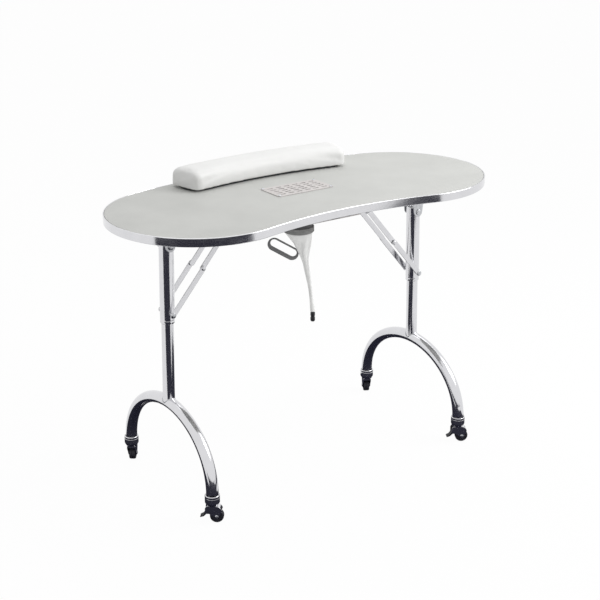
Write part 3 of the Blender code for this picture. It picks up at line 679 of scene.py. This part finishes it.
class TABLE_OT_bag(bpy.types.Operator):
    """Model the exhaust collar, elastic, limp dust bag, pull loop and toggle"""

    bl_idname = "manicure.bag"
    bl_label = "Dust bag"

    def execute(self, context):
        low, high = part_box("bag_collar")
        at = Matrix.Translation(((low.x + high.x) / 2, (low.y + high.y) / 2, 0))
        wide, tube = (high.x - low.x) / 2, 0.034
        collar = [(tube - 0.0025, high.z), (wide - 0.0005, high.z), (wide, high.z - 0.0005),
                  (wide, high.z - 0.0015), (wide - 0.0005, high.z - 0.002),
                  (tube + 0.001, high.z - 0.002), (tube, high.z - 0.003),
                  (tube, low.z + 0.0006), (tube - 0.0006, low.z), (tube - 0.0025, low.z)]
        settle(lathe("collar", collar, 64, True), "table", "grey", ["bag_collar"], at)
        low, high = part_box("bag_band")
        inner = tube + 0.0006
        ribs = [(inner, high.z)]
        count = 13
        for i in range(count):
            z = high.z + (low.z - high.z) * i / (count - 1)
            ribs.append((inner + 0.0022 + (0.0009 if i % 2 else 0.0), z))
        ribs.append((inner, low.z))
        settle(lathe("elastic", ribs, 64, True), "table", "elastic", ["bag_band"], at)
        self.bag(at.translation)
        self.toggle()
        self.loop()
        return {"FINISHED"}

    def bag(self, mouth):
        """A cloth funnel, ring by ring, drawn into a twisted tail."""
        low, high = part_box("dust_bag")
        rings, around = 46, 56
        tie, tail = Vector((0.020, -0.003, 0.573)), Vector((0.037, -0.008, low.z + 0.0003))
        begin()
        bpy.ops.mesh.primitive_circle_add(vertices=around, radius=0.033, location=(mouth.x, mouth.y, high.z))
        obj = named("bag")
        bpy.ops.object.transform_apply(location=True, rotation=True, scale=True)
        bpy.ops.object.mode_set(mode="EDIT")
        bpy.ops.mesh.select_all(action="SELECT")
        for _ in range(rings - 1):
            bpy.ops.mesh.extrude_region_move(TRANSFORM_OT_translate={"value": (0, 0, -0.004)})
        bpy.ops.object.mode_set(mode="OBJECT")
        verts = sorted(obj.data.vertices, key=lambda v: -round(v.co.z, 5))
        for step in range(rings):
            share = step / (rings - 1)
            centre, wide = self.section(share, high.z, tie, tail)
            fold = math.sin(math.pi * min(share / 0.55, 1.0)) if share < 0.55 else 0.25
            for vert in verts[step * around:(step + 1) * around]:
                angle = math.atan2(vert.co.y - mouth.y, vert.co.x - mouth.x)
                spin = angle + 2.6 * share
                pleat = 1 + fold * (0.13 * math.cos(5 * spin) + 0.05 * math.cos(9 * spin + 1.0))
                radius = wide * pleat
                vert.co = (mouth.x + centre.x + radius * math.cos(angle),
                           mouth.y + centre.y + radius * math.sin(angle) * (1 - 0.15 * fold), centre.z)
        recalculate(obj)
        wall = obj.modifiers.new("wall", "SOLIDIFY")
        wall.thickness = 0.0007
        wall.offset = -1.0
        bpy.ops.object.modifier_apply(modifier=wall.name)
        settle(obj, "table", "cloth", ["dust_bag"], angle=70)

    def section(self, share, top, tie, tail):
        """Centre and radius of one ring of the bag, as shares of its fall."""
        waist = 0.42
        if share <= waist:
            part = share / waist
            draw = 1 - (1 - part) ** 1.5
            return Vector((tie.x * part**0.8, tie.y * part**0.8, top + (tie.z - top) * part)), \
                0.0338 + (0.0068 - 0.0338) * draw
        part = (share - waist) / (1 - waist)
        sway = 0.0015 * math.sin(part * math.pi)
        place = tie.lerp(tail, part) + Vector((sway, 0, 0))
        return place, 0.0050 + 0.0014 * math.cos(5.0 * part)

    def toggle(self):
        low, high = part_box("bag_toggle")
        radius, half = (high.x - low.x) / 2, (high.z - low.z) / 2
        bead = [(radius * 0.35, half), (radius * 0.75, half * 0.95), (radius, half * 0.75),
                (radius, half * 0.2), (radius * 0.86, half * 0.12), (radius * 0.86, -half * 0.12),
                (radius, -half * 0.2),
                (radius, -half * 0.75), (radius * 0.75, -half * 0.95), (radius * 0.35, -half)]
        place = Matrix.Translation((low + high) / 2)
        settle(lathe("toggle", bead, 28), "table", "black", ["bag_toggle"], place)

    def loop(self):
        """A webbing strap sewn into a loop, its lower strand wider than its upper one."""
        long, tall = 0.0405, 0.0165
        outer = stadium((-(long - tall), 0), (long - tall, 0), tall, 25)
        inner = stadium((-(long - tall) - 0.002, 0.003), (long - tall + 0.001, 0.003), 0.0092, 25)
        begin()
        bpy.ops.mesh.primitive_circle_add(vertices=len(outer), radius=0.01)
        strap = named("pull_loop")
        bpy.ops.object.mode_set(mode="EDIT")
        bpy.ops.mesh.select_all(action="SELECT")
        bpy.ops.mesh.extrude_region_move(TRANSFORM_OT_translate={"value": (0, 0, 0.001)})
        bpy.ops.object.mode_set(mode="OBJECT")
        for vert, (x, z) in zip(strap.data.vertices, outer + inner):
            vert.co = (x, 0, z)
        recalculate(strap)
        wall = strap.modifiers.new("wall", "SOLIDIFY")
        wall.thickness = 0.003
        wall.offset = 0.0
        bpy.ops.object.modifier_apply(modifier=wall.name)
        edge = strap.modifiers.new("edges", "BEVEL")
        edge.width = 0.0008
        edge.segments = 3
        edge.limit_method = "ANGLE"
        edge.angle_limit = math.radians(50)
        bpy.ops.object.modifier_apply(modifier=edge.name)
        tuck = box("tuck", (0.004, -0.0023, -tall + 0.0004), (0.017, 0.0023, -0.0066), 0.0008)
        turn = Matrix.Rotation(math.radians(-35.1), 4, "Z") @ Matrix.Rotation(math.radians(29.0), 4, "Y")
        place = Matrix.Translation((-0.1172, -0.1015, 0.6122)) @ turn
        settle(merged("pull_loop", strap, tuck), "table", "webbing", ["bag_pull_loop"], place)


def leg_place(side, splayed=True):
    """The frame of a leg, its origin on the hinge and its X towards the table's middle."""
    turn = 0.0 if side == "left" else math.pi
    place = Matrix.Translation(JOINTS[f"{side}_leg_fold"]["pos_m"]) @ Matrix.Rotation(turn, 4, "Z")
    return place @ Matrix.Rotation(sizes().splay, 4, "Y") if splayed else place


class TABLE_OT_legs(bpy.types.Operator):
    """Model each leg's sleeve, post and arched foot in polished tube"""

    bl_idname = "manicure.legs"
    bl_label = "Legs"

    def execute(self, context):
        for side in SIDES:
            self.leg(side)
        return {"FINISHED"}

    def leg(self, side):
        size = sizes()
        body, place = f"{side}_leg", leg_place(side)
        drop = JOINTS[f"{side}_leg_fold"]["pos_m"][2]
        end = -(drop - size.arch_end) / math.cos(size.splay)
        apex = end + size.arch_rise
        r, low = size.sleeve_radius, -size.sleeve_length
        bore = size.tube_radius + 0.0003
        sleeve = [(0.001, 0.014), (r - 0.004, 0.0138), (r - 0.0012, 0.0128), (r, 0.0105), (r, low + 0.010),
                  (r - 0.0004, low + 0.009), (r - 0.0004, low + 0.0075), (r, low + 0.0065), (r, low + 0.0012),
                  (r - 0.0008, low), (bore, low), (bore, low + 0.02)]
        settle(lathe(f"{side}_sleeve", sleeve, 64), body, "chrome",
               [f"{side}_leg_sleeve"], place)
        t = size.tube_radius
        post = [(t - 0.002, low + 0.03), (t, low + 0.028), (t, apex + 0.006), (t - 0.006, apex)]
        settle(lathe(f"{side}_tube_post", post, 64), body, "chrome", [f"{side}_post"], place)
        straight = 0.016
        bow = [(0, size.arch_half, end)]
        for i in range(121):
            angle = math.pi * i / 120
            rise = straight + (size.arch_rise - straight) * math.sin(angle)
            bow.append((0, size.arch_half * math.cos(angle), end + rise))
        bow.append((0, -size.arch_half, end))
        arch = pipe(f"{side}_tube_arch", bow, t, 18)
        settle(arch, body, "chrome", [f"{side}_arch"], place)
        seam = []
        for i in range(48):
            angle = 2 * math.pi * i / 48
            across = t * math.cos(angle)
            drop_here = math.sqrt(max(t * t - across * across * 0.98, 1e-8))
            seam.append((across * 1.03, t * 1.03 * math.sin(angle), apex + drop_here * 0.98 - 0.001))
        bead = pipe(f"{side}_weld", seam, 0.0013, 4, True)
        settle(bead, body, "zinc", (), place)


def clevis(name, drop, wide, eye, foot):
    """A drop bracket folded from sheet: a foot with rounded corners and two tapered ears."""
    base = box(name, (-foot, -0.045, drop - 0.003), (foot, 0.045, drop), 0.0012)
    ears = [base]
    for sign in (-1, 1):
        outline = [(wide, drop - 0.001), (-wide, drop - 0.001)] + arc((0, 0), eye, 190, 350, 21)
        low, high = sorted((sign * 0.0192, sign * 0.0220))
        ears.append(plate("ear", outline, low, high, 0.0006))
    return merged(name, *ears)


def bolt(name, head, reach, thick, shank=0.004):
    """A pin along Y with a domed head at each end."""
    top = reach + thick
    profile = [(0.0008, top), (head * 0.55, top - thick * 0.12), (head * 0.9, top - thick * 0.5),
               (head, top - thick * 0.85), (head, reach), (shank, reach)]
    profile += [(radius, -y) for radius, y in reversed(profile)]
    obj = lathe(name, profile, 28)
    pick(obj)
    obj.matrix_world = upright_to_y()
    bpy.ops.object.transform_apply(location=True, rotation=True, scale=True)
    return obj


class TABLE_OT_hinges(bpy.types.Operator):
    """Model the hinge brackets, their pins and the screws that hold them"""

    bl_idname = "manicure.hinges"
    bl_label = "Hinges"

    def execute(self, context):
        places = []
        for side in SIDES:
            place = leg_place(side, False)
            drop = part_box(f"{side}_hinge_bracket")[1].z - place.translation.z
            bracket = clevis(f"{side}_hinge", drop, 0.027, 0.013, 0.032)
            settle(bracket, "table", "zinc", [f"{side}_hinge_bracket"], place)
            pin = bolt(f"{side}_hinge_bolt", 0.008, 0.0223, 0.0025, 0.005)
            settle(pin, "table", "zinc", [f"{side}_hinge_pin"], place)
            for x in (-0.022, 0.022):
                for y in (-0.036, 0.036):
                    places.append(place @ Vector((x, y, drop - 0.003)))
        screws("hinge_screws", places)
        return {"FINISHED"}


class TABLE_OT_stays(bpy.types.Operator):
    """Model the folding stays: straps, knuckle rivets, pins and brackets"""

    bl_idname = "manicure.stays"
    bl_label = "Folding stays"

    def execute(self, context):
        places = []
        for side in SIDES:
            self.stays(side, places)
        screws("stay_screws", places)
        return {"FINISHED"}

    def stays(self, side, places):
        place = leg_place(side, False)
        inverse = place.inverted()
        high = inverse @ Vector(JOINTS[f"{side}_upper_stay_swing"]["pos_m"])
        low = inverse @ Vector(JOINTS[f"{side}_lower_stay_swing"]["pos_m"])
        knuckle = (high + low) / 2
        for sign in (-1, 1):
            end = "front" if (sign < 0) == (side == "left") else "rear"
            for part, start, y in (("upper", high, 0.0225), ("lower", low, 0.0265)):
                span = sorted((sign * y, sign * (y + 0.003)))
                outline = stadium((start.x, start.z), (knuckle.x, knuckle.z), sizes().strap_half)
                strap = plate(f"{side}_{part}_strap_{end}", outline, *span, 0.0009)
                pieces = [strap]
                if part == "lower":
                    pieces.append(self.rivet(knuckle, sign))
                settle(merged(f"{side}_{part}_strap_{end}", *pieces), f"{side}_{part}_stay", "strap",
                       [f"{side}_{part}_stay_{end}"], place)
        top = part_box(f"{side}_stay_bracket")[1].z - place.translation.z
        bracket = clevis(f"{side}_stay_clevis", top - high.z, 0.016, 0.010, 0.020)
        at = place @ Matrix.Translation((high.x, 0, high.z))
        settle(bracket, "table", "zinc", [f"{side}_stay_bracket"], at)
        settle(bolt(f"{side}_stay_bolt", 0.0065, 0.0258, 0.0019), "table", "zinc",
               [f"{side}_stay_bracket_pin"], at)
        at = place @ Matrix.Translation((low.x, 0, low.z))
        settle(bolt(f"{side}_sleeve_bolt", 0.007, 0.0298, 0.0019), f"{side}_leg", "zinc",
               [f"{side}_stay_post_pin"], at)
        for y in (-0.036, 0.036):
            places.append(place @ Vector((high.x, y, top - 0.003)))

    def rivet(self, knuckle, sign):
        """A domed rivet head on the outer strap."""
        dome = [(0.0052, 0.0), (0.0050, 0.0008), (0.0040, 0.0015), (0.0020, 0.0019), (0.0004, 0.0020)]
        head = lathe("rivet", dome, 24)
        turn = upright_to_y() if sign > 0 else Matrix.Rotation(math.radians(90), 4, "X")
        head.matrix_world = Matrix.Translation((knuckle.x, sign * 0.0295, knuckle.z)) @ turn
        pick(head)
        bpy.ops.object.transform_apply(location=True, rotation=True, scale=True)
        return head


class TABLE_OT_casters(bpy.types.Operator):
    """Model the four casters: ferrules, pressed forks, wheels, axles and brake levers"""

    bl_idname = "manicure.casters"
    bl_label = "Casters"

    def execute(self, context):
        for side in SIDES:
            for end in ENDS:
                self.caster(side, end)
        return {"FINISHED"}

    def caster(self, side, end):
        size = sizes()
        name = f"{side}_{end}"
        roll = JOINTS[f"{name}_wheel_roll"]
        axis = roll["axis"]
        heading = math.atan2(-axis[0], axis[1])
        x, y, _ = JOINTS[f"{name}_swivel"]["pos_m"]
        stand = Matrix.Translation((x, y, 0))
        place = stand @ Matrix.Rotation(heading, 4, "Z")
        cup = [(0.0157, 0.072), (0.0172, 0.072), (0.0180, 0.0712), (0.0182, 0.0700), (0.0182, 0.0668),
               (0.0176, 0.0660), (0.0176, 0.0650), (0.0182, 0.0642), (0.0182, 0.0530), (0.0178, 0.0518),
               (0.0146, 0.0456), (0.0138, 0.0450), (0.0043, 0.0450), (0.0043, 0.0570), (0.0157, 0.0570)]
        settle(lathe(f"{name}_cup", cup, 48, True), f"{side}_leg", "chrome",
               [f"{name}_ferrule"], stand)
        self.fork(name, place, end == "front")
        self.wheel(name, place @ Matrix.Translation((size.trail, 0, size.wheel_radius)))
        at = place @ Matrix.Translation((size.trail, 0, size.wheel_radius))
        settle(bolt(f"{name}_axle_bolt", 0.0048, 0.0113, 0.0013, 0.003), f"{name}_caster", "zinc",
               [f"{name}_axle"], at)
        if end == "front":
            self.lever(side, name, place)

    def fork(self, name, place, braked):
        """A pressed fork: two cheeks, a crown between them and a stem into the ferrule."""
        size = sizes()
        top, half, inner = 0.0447, 0.0110, size.wheel_width / 2 + 0.0006
        axle = (size.trail, size.wheel_radius)
        front = [(-0.0125, top)]
        tail = [(-0.0125, 0.0365)]
        if braked:
            front = []
            tail = [(-0.0080, 0.0245), (-0.0175, 0.0245), (-0.0175, 0.0385), (-0.0140, top)]
        outline = front + [(0.0090, top)] + arc((0.0095, 0.0300), 0.0145, 85, 10, 12)
        outline += arc(axle, 0.0062, -10, -170, 15) + tail
        pieces = []
        for sign in (-1, 1):
            low, high = sorted((sign * inner, sign * half))
            pieces.append(plate("cheek", outline, low, high, 0.0007))
        crown = [(-0.0120, top), (0.0090, top)] + arc((0.0095, 0.0300), 0.0143, 85, 45, 6)
        crown += [(0.0105, 0.0362), (-0.0072, 0.0362), (-0.0120, 0.0395)]
        pieces.append(plate("crown", crown, -inner - 0.0002, inner + 0.0002))
        race = [(0.0105, 0.0440), (0.0105, 0.0448), (0.0040, 0.0449), (0.0040, 0.0558), (0.0005, 0.0560)]
        pieces.append(lathe("race", race, 32))
        settle(merged(f"{name}_pressed_fork", *pieces), f"{name}_caster", "chrome",
               [f"{name}_fork"], place)

    def wheel(self, name, place):
        """A solid tyre with a grooved tread, a dished web and ribs."""
        size = sizes()
        r, w = size.wheel_radius, size.wheel_width / 2
        tyre = [(0.0033, w - 0.0004), (0.0058, w - 0.0004), (0.0062, w - 0.0016), (0.0122, w - 0.0016),
                (0.0128, w - 0.0002), (0.0146, w), (0.0160, w - 0.0007), (r - 0.0002, w - 0.0026),
                (r, w - 0.0040), (r, 0.0006), (r - 0.0007, 0.0003), (r - 0.0007, -0.0003),
                (r, -0.0006), (r, -w + 0.0040),
                (r - 0.0002, -w + 0.0026), (0.0160, -w + 0.0007), (0.0146, -w), (0.0128, -w + 0.0002),
                (0.0122, -w + 0.0016), (0.0062, -w + 0.0016), (0.0058, -w + 0.0004), (0.0033, -w + 0.0004)]
        pieces = [lathe("tyre", tyre, 56, True)]
        for sign in (-1, 1):
            for i in range(6):
                low, high = sorted((sign * (w - 0.0022), sign * (w - 0.0009)))
                rib = box("rib", (0.0056, -0.0006, low), (0.0126, 0.0006, high), 0.0003)
                rib.matrix_world = Matrix.Rotation(math.radians(60 * i), 4, "Z")
                pieces.append(rib)
        wheel = merged(f"{name}_tyre", *pieces)
        settle(wheel, f"{name}_roller", "tyre", [f"{name}_wheel"], place @ upright_to_y())

    def lever(self, side, name, place):
        """A brake pedal with a flattened, ribbed tongue."""
        outline = arc((0, 0), 0.0034, -60, 140, 14)
        outline += [(-0.0092, -0.0086), (-0.0112, -0.0100), (-0.0170, -0.0130), (-0.0172, -0.0152),
                    (-0.0085, -0.0128)]
        pedal = plate(f"{name}_pedal", outline, -0.0080, 0.0080, 0.0006)
        pieces = [pedal]
        for i in range(3):
            x = -0.0122 - 0.0018 * i
            z = -0.0104 - 0.00095 * i
            low, high = (x - 0.0004, -0.0066, z - 0.0006), (x + 0.0004, 0.0066, z + 0.0006)
            pieces.append(box("grip", low, high, 0.0003))
        at = place @ Matrix.Translation((-0.0125, 0, 0.0290))
        settle(merged(f"{name}_pedal", *pieces), f"{side}_brake", "black",
               [f"{name}_lever"], at)


class TABLE_OT_stage(bpy.types.Operator):
    """Set the floor, lights, world and camera"""

    bl_idname = "manicure.stage"
    bl_label = "Stage"

    def execute(self, context):
        self.floor()
        self.world(context)
        self.lights()
        self.camera(context)
        context.scene.view_settings.view_transform = "Standard"
        return {"FINISHED"}

    def seen(self, tree):
        """1 for rays from the camera, from gloss or through glass."""
        path = tree.nodes.new("ShaderNodeLightPath")
        total = path.outputs["Is Camera Ray"]
        for name in ("Is Glossy Ray", "Is Transmission Ray"):
            most = tree.nodes.new("ShaderNodeMath")
            most.operation = "MAXIMUM"
            tree.links.new(total, most.inputs[0])
            tree.links.new(path.outputs[name], most.inputs[1])
            total = most.outputs[0]
        return total

    def floor(self):
        begin()
        bpy.ops.mesh.primitive_plane_add(size=60, location=(0, 0, -0.0005))
        obj = named("floor")
        bpy.ops.object.transform_apply(location=True, rotation=True, scale=True)
        paint = bpy.data.materials.new("pale_floor")
        paint.use_nodes = True
        tree = paint.node_tree
        shade = tree.nodes["Principled BSDF"]
        shade.inputs["Base Color"].default_value = (0.86, 0.86, 0.86, 1)
        shade.inputs["Roughness"].default_value = 0.9
        glow = tree.nodes.new("ShaderNodeEmission")
        mix = tree.nodes.new("ShaderNodeMixShader")
        share = tree.nodes.new("ShaderNodeMath")
        share.operation = "MULTIPLY"
        share.inputs[1].default_value = 0.965
        tree.links.new(self.seen(tree), share.inputs[0])
        tree.links.new(share.outputs[0], mix.inputs["Fac"])
        tree.links.new(shade.outputs["BSDF"], mix.inputs[1])
        tree.links.new(glow.outputs["Emission"], mix.inputs[2])
        tree.links.new(mix.outputs["Shader"], tree.nodes["Material Output"].inputs["Surface"])
        obj.data.materials.append(paint)
        self.card("dark_flag_near", (-1.6, -1.9), 3.2, 3.1)
        self.card("dark_flag_far", (0.55, -2.6), 1.1, 1.3)
        self.card("dark_flag_left", (-0.50, 0.0), 0.60, 0.72)
        self.card("dark_flag_right", (0.26, -0.15), 0.62, 1.00)

    def card(self, name, at, wide, tall):
        """A dark flag flat on the studio floor, seen in metal alone."""
        begin()
        bpy.ops.mesh.primitive_plane_add(size=1, location=(*at, 0.002))
        obj = named(name)
        obj.scale = (wide, tall, 1)
        bpy.ops.object.transform_apply(location=True, rotation=True, scale=True)
        paint = bpy.data.materials.new(name)
        paint.use_nodes = True
        shade = paint.node_tree.nodes["Principled BSDF"]
        shade.inputs["Base Color"].default_value = (0.006, 0.006, 0.02, 1)
        shade.inputs["Roughness"].default_value = 1.0
        obj.data.materials.append(paint)
        obj.visible_camera = obj.visible_diffuse = obj.visible_shadow = False
        obj.visible_transmission = obj.visible_volume_scatter = False

    def world(self, context):
        world = bpy.data.worlds.new("studio")
        world.use_nodes = True
        tree = world.node_tree
        back = tree.nodes["Background"]
        back.inputs["Color"].default_value = (1, 1, 1, 1)
        span = tree.nodes.new("ShaderNodeMapRange")
        span.inputs["To Min"].default_value = stage_settings().ambient
        span.inputs["To Max"].default_value = 1.0
        tree.links.new(self.seen(tree), span.inputs["Value"])
        tree.links.new(span.outputs["Result"], back.inputs["Strength"])
        context.scene.world = world

    def lights(self):
        stage = stage_settings()
        for name, at, power, wide in (
                ("key", (1.7, -1.1, 2.0), stage.key, 1.4), ("overhead", (0.2, 0.6, 2.6), stage.fill, 2.4)):
            begin()
            bpy.ops.object.light_add(type="AREA", location=at)
            lamp = named(name)
            lamp.data.energy = power
            lamp.data.size = wide
            lamp.rotation_euler = (Vector((0, 0, 0.5)) - Vector(at)).to_track_quat("-Z", "Y").to_euler()

    def camera(self, context):
        stage = stage_settings()
        begin()
        turn = (math.pi / 2 - stage.camera_pitch, 0, stage.camera_heading)
        bpy.ops.object.camera_add(location=stage.camera_at, rotation=turn)
        camera = named("camera")
        camera.data.lens = stage.lens
        camera.data.sensor_width = 36.0
        camera.data.sensor_fit = "HORIZONTAL"
        camera.data.dof.use_dof = False
        context.scene.camera = camera


PIECES = (TABLE_OT_top, TABLE_OT_cushion, TABLE_OT_suction, TABLE_OT_bag, TABLE_OT_legs, TABLE_OT_hinges,
          TABLE_OT_stays, TABLE_OT_casters, TABLE_OT_stage)


class TABLE_PT_sidebar(bpy.types.Panel):
    """Lists the table's pieces"""

    bl_idname = "TABLE_PT_sidebar"
    bl_label = "Manicure table"
    bl_space_type = "VIEW_3D"
    bl_region_type = "UI"
    bl_category = "Manicure table"

    def draw(self, context):
        for piece in PIECES:
            self.layout.operator(piece.bl_idname)


CLASSES = (TableFinishes, TableSizes, TableStage, *PIECES, TABLE_PT_sidebar)


def register():
    for cls in CLASSES:
        bpy.utils.register_class(cls)
    bpy.types.Scene.manicure_finishes = bpy.props.PointerProperty(type=TableFinishes)
    bpy.types.Scene.manicure_sizes = bpy.props.PointerProperty(type=TableSizes)
    bpy.types.Scene.manicure_stage = bpy.props.PointerProperty(type=TableStage)


def unregister():
    for name in ("manicure_finishes", "manicure_sizes", "manicure_stage"):
        delattr(bpy.types.Scene, name)
    for cls in reversed(CLASSES):
        bpy.utils.unregister_class(cls)


def main():
    register()
    for obj in list(bpy.data.objects):
        if obj.type in ("CAMERA", "LIGHT") or obj.name == "Cube":
            bpy.data.objects.remove(obj)
    bpy.ops.manicure.top()
    bpy.ops.manicure.cushion()
    bpy.ops.manicure.suction()
    bpy.ops.manicure.bag()
    bpy.ops.manicure.legs()
    bpy.ops.manicure.hinges()
    bpy.ops.manicure.stays()
    bpy.ops.manicure.casters()
    bpy.ops.manicure.stage()


if __name__ == "__main__":
    main()
